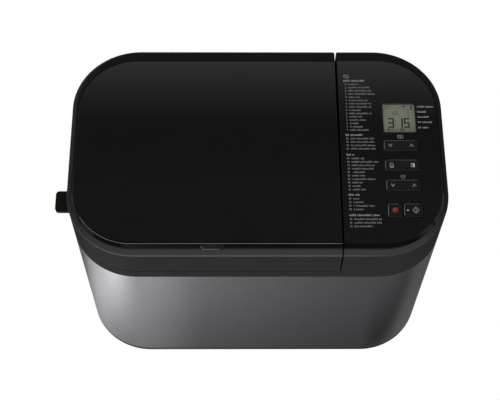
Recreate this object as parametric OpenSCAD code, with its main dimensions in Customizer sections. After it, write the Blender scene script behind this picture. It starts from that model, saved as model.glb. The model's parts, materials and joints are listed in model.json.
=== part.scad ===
// Bread machine: a free-standing baking appliance with a hinged lid over an oven chamber,
// a removable bread pan with a kneading blade, a belt drive and a key panel beside the lid.
// The origin is the middle of the footprint, on the surface that the rubber feet stand on.

/* [Body] */
// Width of the body at its widest line
body_w = 394; // [380:1:410]
// Depth of the body at its widest line
body_d = 244; // [238:1:256]
// Height of the widest line, where the walls turn into the shoulder
crease_z = 282; // [278:1:290]
// Radius of the four upright corners
corner_r = 71; // [66:1:72]
// Thickness of the metal wrap
shell_t = 1.2; // [0.8:0.1:1.6]
// Thickness of the moulded walls
wall_t = 3; // [2.5:0.1:3.4]
// Height of the body above the surface
foot_h = 3.6; // [3:0.1:5]

/* [Lid and panel] */
// Height of the top plates above the widest line
plate_top_rise = 11.5; // [10:0.5:13]
// Rise of the sloped shoulder
shoulder_h = 5; // [4:0.5:6]
// How far the shoulder slopes inward
shoulder_in = 4.5; // [4:0.5:6]
// Lower edge of the moulded upper frame
ring_z = 228; // [222:1:230]
// Height of the seam between the lid and the upper frame
seam_z = 242.4; // [241.6:0.1:243]
// Sideways place of the cut between lid and panel
split_x = 85.5; // [84:0.5:88]
// Width of the cut between lid and panel
split_gap = 1.6; // [0.8:0.1:1.8]
// Height of the hinge axis
hinge_z = 249.5; // [249:0.5:251]

/* [Oven] */
// Sideways place of the middle of the oven and of the drive shaft
oven_x = -55; // [-58:1:-53]
// Inner width of the oven
oven_w = 232; // [226:1:236]
// Inner depth of the oven
oven_d = 176; // [172:1:180]
// Inner corner radius of the oven
oven_r = 58; // [50:1:60]
// Thickness of the oven sheet
oven_t = 1.2; // [0.8:0.1:1.6]
// Height of the oven floor's underside
oven_floor_z = 56; // [56:1:58]
// Diameter of the heater tube
heater_dia = 6.6; // [6:0.2:8]

/* [Bread pan] */
// Length of the pan at its rim
pan_w = 190; // [186:1:192]
// Breadth of the pan at its rim
pan_d = 124; // [118:1:126]
// Upright corner radius of the pan
pan_r = 26; // [20:1:30]
// Height of the rim above the surface
pan_rim_z = 196; // [190:1:197]
// Thickness of the pan wall
pan_t = 1.6; // [1.2:0.1:2]
// How much narrower each pan wall is at the pan floor
pan_taper = 4; // [2:0.5:5]
// Diameter of the handle wire
handle_wire = 4; // [3:0.2:4.4]

/* [Drive] */
// Diameter of the drive shaft and the motor shaft
shaft_dia = 8; // [7:0.5:9]
// Running clearance between a shaft and its bush
shaft_play = 0.05; // [0.03:0.01:0.08]
// Radius of the large pulley under its belt
drive_pulley_r = 55; // [50:1:56]
// Radius of the motor pulley under its belt
motor_pulley_r = 11; // [10:0.5:12]
// Sideways place of the motor
motor_x = 128; // [124:1:130]
// Diameter of the motor case
motor_dia = 92; // [84:1:94]
// Height of the motor case
motor_h = 70; // [60:1:80]

/* [Key panel] */
// Sideways place of the middle of the keys and the display
key_x = 149.5; // [148:0.5:151]
// Length of the three rocker keys
rocker_w = 36; // [34:0.5:37]
// Breadth of the rocker keys
rocker_d = 13; // [11:0.5:14]
// Front-to-back place of the first rocker key
rocker_y = -1.5; // [-3:0.5:0]
// Distance from one rocker key to the next
rocker_pitch = 23.4; // [23:0.1:24]
// Front-to-back place of the stop and start keys
push_y = -76.8; // [-79:0.2:-75]
// Width of the display window
lcd_w = 34; // [30:0.5:36]
// Length of the display window, front to back
lcd_d = 35; // [30:0.5:36]
// Gap around each key
key_gap = 0.5; // [0.4:0.1:0.7]

/* [Hidden] */
$fn = 96;

// How far a cutter passes the face that it cuts
over = 1;
// How far a boss sinks into the floor that it stands on
sink = 0.5;
// Slack between walls that slide into one another
slack = 0.1;
// Longer than any part, for cuts that go right through
far = body_w;
// Heights, from the floor up
shell_z = foot_h + 6.4;
floor_t = 2.5;
chassis_z = 42;
chassis_t = 2;
chassis_top = chassis_z + chassis_t;
deck_top = seam_z - 2.4;
deck_t = 2.5;
frame_top = seam_z - 0.7;
lid_z = seam_z + 0.7;
shoulder_z = crease_z + shoulder_h;
roof_z = shoulder_z - 3;
plate_z = crease_z + plate_top_rise;
plate_t = 2.5;
key_z = plate_z + 0.5;
board_z = 276;
board_t = 1.6;
board_top = board_z + board_t;
switch_top = board_top + 5.8;
// Outlines
lid_right = split_x - split_gap / 2;
panel_left = split_x + split_gap / 2;
plate_front = -body_d / 2 + 6;
plate_rear = body_d / 2 - 16;
plate_w = body_w - 10;
plate_d = plate_rear - plate_front;
plate_y = (plate_rear + plate_front) / 2;
plate_slope = 2.8;
plate_r = 63.5;
rib_t = 3;
// Hinge
hinge_y = body_d / 2 - 5;
hinge_xs = [oven_x - 95, oven_x + 100];
barrel_r = 4.5;
barrel_w = 19;
lug_w = 6;
lug_gap = 0.5;
pin_r = 2;
notch_w = barrel_w + 2 * lug_w + 4 * lug_gap + 2;
notch_top = hinge_z + 6;
// Lid interior
liner_w = oven_w - 10;
liner_d = oven_d - 10;
liner_r = oven_r - 5;
inner_frame_z = lid_z + 0.5;
inner_frame_t = 2.5;
inner_frame_top = inner_frame_z + inner_frame_t;
dome_z = 261;
gasket_w = oven_w + 14;
gasket_d = oven_d + 14;
gasket_r = oven_r + 7;
lid_boss_at = [[-181, -60], [-181, 60], [74, -60], [74, 60], [oven_x, -106], [oven_x, 106]];
// Oven and pan
oven_floor_top = oven_floor_z + oven_t;
flange_top = deck_top + oven_t;
pan_z = 78;
pan_skirt_r = 47;
pan_bush_r = 9;
pan_skirt_z = oven_floor_top + 3;
pivot_z = pan_rim_z - 10;
pivot_r = 2.5;
handle_x = pan_w / 2 + 4;
handle_reach = pan_d / 2 + 5;
handle_corner = 10;
eye_r = 6;
eye_press = 0.4;
ear_t = 1.6;
ear_half = 9;
heater_z = 84;
heater_w = 208;
heater_d = 152;
heater_corner = 40;
heater_gap = 48;
heater_turn = 9;
bracket_xs = [-50, 50];
terminal_y = heater_gap / 2 - heater_turn;
bushing_r = 6;
sensor_r = 3;
sensor_x = oven_x + 40;
sensor_z = 120;
// Drive
shaft_r = shaft_dia / 2;
bush_r = 6;
bush_h = 8;
housing_r = 11;
housing_z = 31;
housing_top = 60;
shaft_low = 12;
shaft_top = housing_top + 9;
pulley_z = 14;
pulley_h = 12;
belt_gap = 0.3;
belt_t = 2;
belt_z = pulley_z + 1.5;
belt_h = 9;
mount_h = 4;
motor_z = chassis_top + mount_h;
motor_plate = 100;
motor_hole = 42;
post_at = [for (x = [-150, 150], y = [-85, 85]) [x, y]];
foot_r = 11;
foot_peg_r = 4;
foot_peg_h = 6;
post_r = 6;
screw_r = 1.6;
board_screw_r = 1.2;
foot_at = [for (x = [-135, 135], y = [-75, 75]) [x, y]];
oven_post_at = [for (x = [oven_x - 80, oven_x + 80], y = [-50, 50]) [x, y]];
motor_hole_at = [for (x = [-1, 1], y = [-1, 1]) [motor_x + x * motor_hole, y * motor_hole]];
power_x = 80;
power_y = 94;
power_z = 60;
board_hole_at = [[104, -86], [104, 52], [172, -68], [172, 52]];
// Keys
rocker_ys = [for (i = [0 : 2]) rocker_y - i * rocker_pitch];
key_r = 2;
switch_dx = rocker_w / 2 - 6;
stop_x = key_x - 10.5;
start_x = key_x + 8.3;
stop_w = 14.5;
start_w = 19.5;
push_d = 15;
lcd_y = 32.2;
lamp_x = start_x - 5.7;
lamp_r = 1.15;
lcd_r = 1.5;
// Rear cover
rear_w = 300;
rear_open = 244;
rear_top = 222;
rear_bottom = 18;
rear_out = 8;
rear_y = body_d / 2 + rear_out;
gland_x = 118;
gland_z = 40;
gland_r = 6;
// Cord hook
hook_y = -37;
hook_len = 24;
hook_out = 19;
hook_z = 230;
hook_t = 5;
hook_pegs = [hook_z - 22, hook_z - 14];
hook_peg_r = 2.5;

// A rectangle with round corners
module plan(w, d, r) {
    square([w - 2 * r, d], center = true);
    square([w, d - 2 * r], center = true);
    for (x = [-1, 1], y = [-1, 1])
        translate([x * (w / 2 - r), y * (d / 2 - r)]) circle(r = r);
}

// An upright block with round corners
module slab(w, d, r, z0, z1) {
    translate([0, 0, z0]) linear_extrude(z1 - z0) plan(w, d, r);
}

// An upright ring with round corners and a wall of thickness t
module ring_slab(w, d, r, t, z0, z1) {
    translate([0, 0, z0]) linear_extrude(z1 - z0) difference() {
        plan(w, d, r);
        plan(w - 2 * t, d - 2 * t, r - t);
    }
}

// A rounded block whose four walls lean: in0 and in1 are the insets at its foot and its top
module leaning_block(w, d, r, z0, z1, in0, in1) {
    for (x = [-1, 1], y = [-1, 1])
        translate([x * (w / 2 - r), y * (d / 2 - r), z0])
            cylinder(h = z1 - z0, r1 = r - in0, r2 = r - in1);
    translate([0, d / 2 - r, 0]) rotate([90, 0, 0]) linear_extrude(d - 2 * r)
        polygon([[in0 - w / 2, z0], [w / 2 - in0, z0], [w / 2 - in1, z1], [in1 - w / 2, z1]]);
    translate([r - w / 2, 0, 0]) rotate([90, 0, 90]) linear_extrude(w - 2 * r)
        polygon([[in0 - d / 2, z0], [d / 2 - in0, z0], [d / 2 - in1, z1], [in1 - d / 2, z1]]);
}

// The upright walls of the body and the lid, moved inward by a margin
module wall_block(z0, z1, margin = 0) {
    slab(body_w - 2 * margin, body_d - 2 * margin, corner_r - margin, z0, z1);
}

// The sloped shoulder above the widest line
module shoulder_block() {
    leaning_block(body_w, body_d, corner_r, crease_z, shoulder_z, 0, shoulder_in);
}

// The raised glossy field on top, shared by the lid plate and the control plate
module plate_block(z0 = shoulder_z, z1 = plate_z, margin = 0) {
    translate([0, plate_y, 0])
        leaning_block(plate_w, plate_d, plate_r, z0, z1, margin, plate_slope + margin);
}

// Everything to the left or to the right of an upright plane
module left_of(x) {
    translate([x - 2 * far, -far, -far]) cube([2 * far, 2 * far, 3 * far]);
}

module right_of(x) {
    translate([x, -far, -far]) cube([2 * far, 2 * far, 3 * far]);
}

// A box given by its lowest and highest corners
module box(low, high) {
    translate(low) cube(high - low);
}

// A rod along X, Y or Z
module rod_x(r, x0, x1, y, z) {
    translate([x0, y, z]) rotate([0, 90, 0]) cylinder(h = x1 - x0, r = r);
}

module rod_y(r, y0, y1, x, z) {
    translate([x, y1, z]) rotate([90, 0, 0]) cylinder(h = y1 - y0, r = r);
}

module rod_z(r, z0, z1, x = 0, y = 0) {
    translate([x, y, z0]) cylinder(h = z1 - z0, r = r);
}

// A quarter bend of a round tube in the flat, starting at a compass angle
module bend(x, y, z, bend_r, tube_r, start) {
    translate([x, y, z]) rotate([0, 0, start]) rotate_extrude(angle = 90)
        translate([bend_r, 0]) circle(r = tube_r);
}

// A pan-head screw whose head lies above (up = 1) or below (up = -1) its seat
module screw(x, y, seat_z, r, len, up) {
    head_h = 1.4;
    low = up > 0 ? seat_z - len : seat_z - head_h;
    high = up > 0 ? seat_z + head_h : seat_z + len;
    rod_z(r, low, high, x, y);
    rod_z(2 * r, up > 0 ? seat_z : low, up > 0 ? high : seat_z, x, y);
}

// A nick that rounds off the rear corner of the lid or the panel beside the cut
module rear_nick(x, side) {
    nick = 1;
    translate([0, 0, shell_z]) linear_extrude(far)
        polygon([[x + side * nick, body_d], [x - side, body_d], [x - side, body_d / 2 - 4 * nick],
            [x, body_d / 2 - 4 * nick], [x + side * nick, body_d / 2 - shoulder_in / 2]]);
}

// ---------- Outer body ----------

module base_pan() color([0.10, 0.10, 0.11]) {
    skirt = 12;
    inside = foot_h + floor_t;
    vent_w = 3;
    vent_half = 28;
    difference() {
        union() {
            difference() {
                union() {
                    wall_block(foot_h, shell_z);
                    wall_block(shell_z, shell_z + skirt, shell_t + slack);
                }
                wall_block(inside, shell_z + skirt + over, wall_t + shell_t);
            }
            for (p = post_at) rod_z(post_r, inside - sink, chassis_z, p[0], p[1]);
            for (p = foot_at) rod_z(2 * foot_peg_r, inside - sink, foot_h + foot_peg_h, p[0], p[1]);
        }
        for (p = post_at) rod_z(screw_r, inside + 4, chassis_z + over, p[0], p[1]);
        for (p = foot_at) rod_z(foot_peg_r, foot_h - over, foot_h + foot_peg_h + over, p[0], p[1]);
        // air slots under the motor
        for (i = [-6 : 6])
            translate([motor_x - 8 + 2 * i * vent_w, 0, 0])
                box([-vent_w / 2, -vent_half, foot_h - over], [vent_w / 2, vent_half, inside + over]);
    }
}

module rubber_feet() color([0.05, 0.05, 0.05])
    for (p = foot_at) {
        translate([p[0], p[1], 0]) cylinder(h = foot_h, r1 = foot_r - 1, r2 = foot_r);
        rod_z(foot_peg_r, foot_h, foot_h + foot_peg_h, p[0], p[1]);
    }

module outer_shell() color([0.44, 0.44, 0.46]) difference() {
    lap = 8;
    wall_block(shell_z, ring_z);
    wall_block(shell_z - over, ring_z + over, shell_t);
    // window behind the rear cover, and holes for the hook's pegs
    box([-rear_open / 2, 0, rear_bottom + lap], [rear_open / 2, body_d, rear_top - lap]);
    for (z = hook_pegs) rod_x(hook_peg_r + slack, -far, 0, hook_y, z);
}

module upper_frame() color([0.17, 0.17, 0.18]) {
    spigot = 6;
    rear_step = 14;
    step_h = 0.4;
    mouth = oven_t + 2 * slack;
    difference() {
        union() {
            wall_block(ring_z, frame_top);
            wall_block(ring_z - spigot, ring_z, shell_t + slack);
            intersection() {
                union() {
                    wall_block(frame_top, crease_z);
                    shoulder_block();
                }
                right_of(panel_left);
            }
        }
        // hollow under the deck, and the hollow of the key panel
        intersection() {
            wall_block(ring_z - spigot - over, deck_top - deck_t, wall_t);
            left_of(panel_left + wall_t);
        }
        intersection() {
            wall_block(ring_z - spigot - over, roof_z, wall_t);
            right_of(panel_left + wall_t);
        }
        // tray above the deck, under the lid
        intersection() {
            wall_block(deck_top, frame_top + over, wall_t);
            left_of(panel_left);
        }
        // lowered rear rim, where the lid's rear edge swings past
        box([-far, body_d / 2 - rear_step, deck_top + step_h], [panel_left, body_d, frame_top + over]);
        // oven mouth
        translate([oven_x, 0, 0])
            slab(oven_w + 2 * mouth, oven_d + 2 * mouth, oven_r + mouth, ring_z, seam_z);
        // openings in the roof for the display and the keys
        panel_field();
        rear_nick(panel_left, 1);
    }
    for (x = hinge_xs, side = [-1, 1]) hinge_lug(x + side * (barrel_w / 2 + lug_gap + lug_w / 2));
}

// The open field in the panel housing, under the control plate
module panel_field() {
    border = 12;
    intersection() {
        translate([0, plate_y, roof_z - over]) linear_extrude(shoulder_h + over)
            plan(plate_w - 2 * border, plate_d - 2 * border, plate_r - border);
        right_of(panel_left + border - 2);
    }
}

// One fixed ear of a hinge, with its hole for the pin
module hinge_lug(x) {
    half = lug_w / 2;
    difference() {
        union() {
            rod_x(barrel_r, x - half, x + half, hinge_y, hinge_z);
            box([x - half, hinge_y - barrel_r, deck_top - deck_t], [x + half, hinge_y + barrel_r, hinge_z]);
        }
        rod_x(pin_r, x - far, x + far, hinge_y, hinge_z);
    }
}

module rear_cover() color([0.09, 0.09, 0.10]) {
    edge_r = 5;
    depth = rear_out + 12;
    half = rear_w / 2;
    slot_half = 28;
    slot_h = 4;
    slot_pitch = 11;
    first_slot = 60;
    difference() {
        translate([-half, rear_y - depth, rear_bottom]) linear_extrude(rear_top - rear_bottom) {
            square([rear_w, depth - edge_r]);
            translate([edge_r, 0]) square([rear_w - 2 * edge_r, depth]);
            for (x = [edge_r, rear_w - edge_r]) translate([x, depth - edge_r]) circle(r = edge_r);
        }
        wall_block(0, ring_z, -slack / 2);
        box([wall_t - half, 0, rear_bottom + wall_t], [half - wall_t, rear_y - wall_t, rear_top - wall_t]);
        // three columns of air slots
        for (z = [first_slot : slot_pitch : rear_top - 2 * slot_pitch], x = [-75, 0, 75])
            box([x - slot_half, 0, z], [x + slot_half, far, z + slot_h]);
        rod_y(gland_r + slack / 2, 0, far, gland_x, gland_z);
    }
}

module cord_gland() color([0.06, 0.06, 0.06]) difference() {
    neck = 7;
    cord_r = 3.6;
    union() {
        rod_y(gland_r, rear_y - neck, rear_y, gland_x, gland_z);
        rod_y(gland_r + 3, rear_y, rear_y + 1.2, gland_x, gland_z);
        rod_y(gland_r + 2, rear_y - neck, rear_y - wall_t - slack / 2, gland_x, gland_z);
    }
    rod_y(cord_r, 0, far, gland_x, gland_z);
}

module cord_hook() color([0.14, 0.14, 0.12]) {
    face = -body_w / 2;
    tip = face - hook_out;
    nose = 4;
    gusset_out = 7;
    gusset_toe = 1.5;
    gusset_h = 26;
    // flat tongue with round outer corners
    translate([0, hook_y, hook_z]) linear_extrude(hook_t) {
        translate([tip + nose, -hook_len / 2]) square([face - tip - nose, hook_len]);
        translate([tip, nose - hook_len / 2]) square([nose, hook_len - 2 * nose]);
        for (y = [-1, 1]) translate([tip + nose, y * (hook_len / 2 - nose)]) circle(r = nose);
    }
    // gusset below the tongue, and the pegs that pass through the wrap
    translate([face, hook_y + hook_len / 3, hook_z]) rotate([90, 0, 0]) linear_extrude(hook_len * 2 / 3)
        polygon([[0, 0], [-gusset_out, 0], [-gusset_toe, -gusset_h], [0, -gusset_h]]);
    for (z = hook_pegs) rod_x(hook_peg_r, face, face + 7, hook_y, z);
}

// ---------- Key panel ----------

module control_plate() color([0.07, 0.07, 0.07]) difference() {
    union() {
        difference() {
            intersection() {
                plate_block();
                right_of(panel_left);
            }
            intersection() {
                plate_block(shoulder_z - over, plate_z - plate_t, rib_t);
                right_of(panel_left + rib_t);
            }
        }
        for (p = board_hole_at) rod_z(3, board_top, plate_z - 1, p[0], p[1]);
    }
    for (p = board_hole_at) rod_z(board_screw_r, 0, plate_z - plate_t - 1, p[0], p[1]);
    window(key_x, lcd_y, lcd_w, lcd_d, lcd_r, 0.15);
    for (y = rocker_ys) window(key_x, y, rocker_w, rocker_d, key_r, key_gap);
    window(stop_x, push_y, stop_w, push_d, key_r, key_gap);
    window(start_x, push_y, start_w, push_d, key_r, key_gap);
    rear_nick(panel_left, 1);
}

// A round-cornered opening through the control plate, larger all round by a gap
module window(x, y, w, d, r, gap) {
    translate([x, y, 0]) slab(w + 2 * gap, d + 2 * gap, r + gap, shoulder_z, plate_z + over);
}

module lcd_window() color([0.50, 0.55, 0.44])
    translate([key_x, lcd_y, 0]) slab(lcd_w, lcd_d, lcd_r, plate_z - 2, plate_z);

module lcd_module() color([0.42, 0.46, 0.38]) translate([key_x, lcd_y, 0]) {
    under = plate_z - plate_t - slack;
    low = plate_z - 6;
    leg = lcd_w / 2;
    slab(lcd_w + 4, lcd_d + 4, 1, low, under);
    slab(lcd_w - 1, lcd_d - 1, 1, under, plate_z - 2 - slack);
    for (x = [-leg, leg]) box([x - 1, -leg, board_top], [x + 1, leg, low]);
}

// A key that rocks about its middle, with one stud over each of its switches
module rocker_key(y) translate([key_x, y, 0]) {
    slab(rocker_w, rocker_d, key_r, plate_z - 2, key_z);
    for (x = [-switch_dx, switch_dx]) rod_z(2, switch_top + 0.7, plate_z - 2, x, 0);
}

module menu_key() color([0.10, 0.10, 0.10]) rocker_key(rocker_ys[0]);

module loaf_key() color([0.10, 0.10, 0.10]) rocker_key(rocker_ys[1]);

module timer_key() color([0.10, 0.10, 0.10]) rocker_key(rocker_ys[2]);

// A key that goes straight down onto one switch
module push_key(x, w) translate([x, push_y, 0]) {
    slab(w, push_d, key_r, plate_z - 2, key_z);
    rod_z(2, switch_top + 0.8, plate_z - 2);
}

module stop_key() color([0.10, 0.10, 0.10]) push_key(stop_x, stop_w);

module start_key() color([0.10, 0.10, 0.10]) difference() {
    push_key(start_x, start_w);
    rod_z(lamp_r + slack / 2, plate_z - 3, key_z + over, lamp_x, push_y);
}

module start_lamp() color([0.65, 0.10, 0.10]) rod_z(lamp_r, plate_z - 2, key_z, lamp_x, push_y);

module control_board() color([0.10, 0.35, 0.18]) difference() {
    box([98, -92, board_z], [176, 60, board_top]);
    for (p = board_hole_at) rod_z(1.6, board_z - over, board_top + over, p[0], p[1]);
}

module touch_switches() color([0.15, 0.15, 0.16]) {
    for (y = rocker_ys, x = [-switch_dx, switch_dx]) touch_switch(key_x + x, y);
    touch_switch(stop_x, push_y);
    touch_switch(start_x, push_y);
}

module touch_switch(x, y) translate([x, y, board_top]) {
    translate([-3, -3, 0]) cube([6, 6, 4]);
    cylinder(h = switch_top - board_top, r = 1.7);
}

module board_screws() color([0.7, 0.7, 0.7])
    for (p = board_hole_at) screw(p[0], p[1], board_z, board_screw_r, 10, -1);

// ---------- Lid ----------

module lid_frame() color([0.17, 0.17, 0.18]) {
    field_w = 220;
    field_d = 160;
    slot_pitch = 9;
    difference() {
        intersection() {
            union() {
                wall_block(lid_z, crease_z);
                shoulder_block();
            }
            left_of(lid_right);
        }
        intersection() {
            wall_block(lid_z - over, roof_z, wall_t);
            left_of(lid_right - wall_t);
        }
        // open field under the top plate
        translate([oven_x, plate_y, 0]) slab(field_w, field_d, 40, roof_z - over, shoulder_z + over);
        for (x = hinge_xs) hinge_notch(x);
        // steam slots low in the rear wall
        for (i = [-4 : 4])
            translate([oven_x + slot_pitch * i, 0, 0]) box([-1.5, 0, dome_z - 1], [1.5, far, dome_z + 11]);
        rear_nick(lid_right, -1);
    }
    for (p = lid_boss_at) difference() {
        rod_z(4, inner_frame_top, roof_z + sink, p[0], p[1]);
        rod_z(board_screw_r, 0, inner_frame_top + 14, p[0], p[1]);
    }
    for (x = hinge_xs) hinge_knuckle(x);
}

// The cut in the lid's rear edge that clears the fixed lugs
module hinge_notch(x) {
    half = notch_w / 2;
    box([x - half, hinge_y - barrel_r - 1.5, lid_z - over], [x + half, far, notch_top]);
}

// The lid's part of a hinge: a barrel on an arm that hangs from the lid's roof
module hinge_knuckle(x) {
    half = barrel_w / 2;
    arm = hinge_y - 12;
    low = hinge_z - 1.5;
    difference() {
        union() {
            rod_x(barrel_r, x - half, x + half, hinge_y, hinge_z);
            box([x - half, arm, low], [x + half, hinge_y, hinge_z + barrel_r]);
            box([x - half, arm, low], [x + half, hinge_y - barrel_r, roof_z + sink]);
        }
        rod_x(pin_r + shaft_play, x - far, x + far, hinge_y, hinge_z);
    }
}

module lid_top_plate() color([0.05, 0.05, 0.05]) difference() {
    intersection() {
        plate_block();
        left_of(lid_right);
    }
    intersection() {
        plate_block(shoulder_z - over, plate_z - plate_t, rib_t);
        left_of(lid_right - rib_t);
    }
    rear_nick(lid_right, -1);
}

module finger_tab() color([0.13, 0.13, 0.13]) {
    tab_x = oven_x + 8.3;
    tab_front = 3 - body_d / 2;
    tab_w = 23.5;
    tab_t = 3;
    tab_r = 4;
    difference() {
        translate([tab_x, tab_front, crease_z + 5]) linear_extrude(tab_t) {
            translate([-tab_w / 2, tab_r - 0.5]) square([tab_w, 2 * tab_r + 2]);
            translate([tab_r - tab_w / 2, 0]) square([tab_w - 2 * tab_r, tab_r + 1]);
            for (x = [-1, 1]) translate([x * (tab_w / 2 - tab_r), tab_r]) circle(r = tab_r);
        }
        wall_block(ring_z, crease_z);
        shoulder_block();
        plate_block();
    }
}

module lid_inner_frame() color([0.12, 0.12, 0.12]) difference() {
    intersection() {
        wall_block(inner_frame_z, inner_frame_top, wall_t + 2 * slack);
        left_of(lid_right - wall_t - 2 * slack);
    }
    translate([oven_x, 0, 0]) slab(liner_w, liner_d, liner_r, lid_z, inner_frame_top + over);
    for (x = hinge_xs) hinge_notch(x);
    for (p = lid_boss_at) rod_z(1.5, lid_z, inner_frame_top + over, p[0], p[1]);
}

module lid_liner() color([0.75, 0.75, 0.76]) translate([oven_x, 0, 0]) {
    sheet = 0.8;
    lip = 6;
    w = liner_w - 4 * slack;
    d = liner_d - 4 * slack;
    r = liner_r - 2 * slack;
    difference() {
        union() {
            slab(w + 2 * lip, d + 2 * lip, r + lip, inner_frame_top, inner_frame_top + sheet);
            slab(w, d, r, inner_frame_top, dome_z + sheet);
        }
        slab(w - 2 * sheet, d - 2 * sheet, r - sheet, lid_z, dome_z);
        // steam holes
        for (i = [-2 : 2]) rod_z(2, lid_z, dome_z + 2, 12 * i, 60);
    }
}

module lid_gasket() color([0.28, 0.28, 0.28]) translate([oven_x, 0, 0])
    ring_slab(gasket_w, gasket_d, gasket_r, 5, flange_top + 0.3, inner_frame_z);

module lid_screws() color([0.7, 0.7, 0.7])
    for (p = lid_boss_at) screw(p[0], p[1], inner_frame_z, board_screw_r, 12, -1);

module hinge_pins() color([0.75, 0.75, 0.75]) {
    half = barrel_w / 2 + lug_gap + lug_w;
    for (x = hinge_xs) rod_x(pin_r, x - half, x + half, hinge_y, hinge_z);
}

// ---------- Oven ----------

module oven_liner() color([0.62, 0.62, 0.62]) difference() {
    flange = 8;
    translate([oven_x, 0, 0]) difference() {
        union() {
            slab(oven_w + 2 * oven_t, oven_d + 2 * oven_t, oven_r + oven_t, oven_floor_z, flange_top);
            slab(oven_w + 2 * flange, oven_d + 2 * flange, oven_r + flange, deck_top, flange_top);
        }
        slab(oven_w, oven_d, oven_r, oven_floor_top, flange_top + over);
        rod_z(housing_r + 2 * slack, oven_floor_z - over, oven_floor_top + over);
    }
    for (p = oven_post_at) rod_z(screw_r + slack, oven_floor_z - over, oven_floor_top + over, p[0], p[1]);
    for (y = [-1, 1]) rod_x(bushing_r, oven_x, oven_x + oven_w, y * terminal_y, heater_z);
    rod_y(sensor_r + slack / 2, -oven_d, 0, sensor_x, sensor_z);
}

module oven_posts() color([0.7, 0.7, 0.7])
    for (p = oven_post_at) {
        rod_z(5, chassis_top, oven_floor_z, p[0], p[1]);
        rod_z(screw_r, oven_floor_z, oven_floor_top, p[0], p[1]);
        rod_z(2 * screw_r, oven_floor_top, oven_floor_top + screw_r, p[0], p[1]);
    }

// A closed loop but for one gap, where both ends turn out through the oven wall
module heater_element() color([0.33, 0.31, 0.30]) translate([oven_x, 0, 0]) {
    r = heater_dia / 2;
    hx = heater_w / 2;
    hy = heater_d / 2;
    c = heater_corner;
    t = heater_turn;
    g = heater_gap / 2;
    out = hx + t + 12;
    for (y = [-1, 1]) {
        rod_x(r, c - hx, hx - c, y * hy, heater_z);
        rod_y(r, y > 0 ? g : c - hy, y > 0 ? hy - c : -g, hx, heater_z);
        rod_x(r, hx + t, out, y * terminal_y, heater_z);
        rod_x(1.5, out, out + 5, y * terminal_y, heater_z);
    }
    rod_y(r, c - hy, hy - c, -hx, heater_z);
    bend(hx - c, hy - c, heater_z, c, r, 0);
    bend(c - hx, hy - c, heater_z, c, r, 90);
    bend(c - hx, c - hy, heater_z, c, r, 180);
    bend(hx - c, c - hy, heater_z, c, r, 270);
    bend(hx + t, g, heater_z, t, r, 180);
    bend(hx + t, -g, heater_z, t, r, 90);
}

module heater_bushes() color([0.9, 0.88, 0.82]) {
    wall = oven_x + oven_w / 2;
    for (y = [-terminal_y, terminal_y]) difference() {
        union() {
            rod_x(bushing_r, wall, wall + 8, y, heater_z);
            rod_x(bushing_r + 1, wall + oven_t, wall + 4, y, heater_z);
        }
        rod_x(heater_dia / 2, wall - over, wall + 9, y, heater_z);
    }
}

module heater_brackets() color([0.7, 0.7, 0.7]) {
    under = heater_z - heater_dia / 2;
    half = 6;
    shelf_t = 1.5;
    leg_t = 1.2;
    leg_h = 14;
    for (x = bracket_xs, side = [0, 180]) translate([oven_x + x, 0, 0]) rotate([0, 0, side]) {
        box([-half, heater_d / 2 - 5, under - shelf_t], [half, oven_d / 2, under]);
        box([-half, oven_d / 2 - leg_t, under - leg_h], [half, oven_d / 2, under - shelf_t]);
    }
}

module temperature_sensor() color([0.75, 0.75, 0.75]) {
    wall = -oven_d / 2;
    rod_y(sensor_r, wall - 8, wall + 12, sensor_x, sensor_z);
    rod_y(2 * sensor_r, wall - oven_t - 2, wall - oven_t, sensor_x, sensor_z);
}

module thermal_fuse() color([0.85, 0.85, 0.82]) {
    wall = oven_x + oven_w / 2 + oven_t;
    y = 39;
    z = 136;
    box([wall, y - 15, z - 6], [wall + 1, y + 15, z + 6]);
    box([wall + 1, y - 11, z - 4], [wall + 8, y + 11, z + 4]);
}

// A cup that holds the pan's skirt, with two notches in its rim
module pan_seat() color([0.70, 0.70, 0.71]) translate([oven_x, 0, oven_floor_top]) difference() {
    rim = 10;
    notch = 5;
    union() {
        rod_z(pan_skirt_r + 13, 0, 1.5);
        rod_z(pan_skirt_r + 4, 0, rim);
    }
    rod_z(pan_skirt_r + 1.5, -over, rim + over);
    for (a = [0, 180]) rotate([0, 0, a])
        box([pan_skirt_r, -8, rim - notch], [pan_skirt_r + 6, 8, rim + over]);
}

// ---------- Bread pan ----------

module bread_pan() color([0.25, 0.25, 0.26]) translate([oven_x, 0, 0]) difference() {
    roll = 1.5;
    floor_top = pan_z + pan_t;
    union() {
        leaning_block(pan_w, pan_d, pan_r, pan_z, pan_rim_z, pan_taper, 0);
        slab(pan_w + 2 * roll, pan_d + 2 * roll, pan_r + roll, pan_rim_z - 2, pan_rim_z);
        rod_z(pan_skirt_r, pan_skirt_z, pan_z + sink);
    }
    leaning_block(pan_w, pan_d, pan_r, floor_top, pan_rim_z + over, pan_taper + pan_t - slack / 2, pan_t);
    rod_z(pan_skirt_r - pan_t, pan_skirt_z - over, pan_z);
    rod_z(pan_bush_r, pan_z - over, floor_top + over);
}

module pan_ears() color([0.70, 0.70, 0.71])
    for (s = [0, 1]) translate([oven_x, 0, 0]) mirror([s, 0, 0]) difference() {
        box([pan_w / 2, -ear_half, pivot_z - ear_half], [pan_w / 2 + ear_t, ear_half, pan_rim_z - 2]);
        rod_x(pivot_r, 0, far, 0, pivot_z);
    }

module handle_pivots() color([0.75, 0.75, 0.75])
    for (s = [0, 1]) translate([oven_x, 0, 0]) mirror([s, 0, 0]) {
        rod_x(pivot_r, pan_w / 2, handle_x + 2.4, 0, pivot_z);
        rod_x(pivot_r + 1.5, handle_x + 2.4, handle_x + 3.6, 0, pivot_z);
    }

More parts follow.
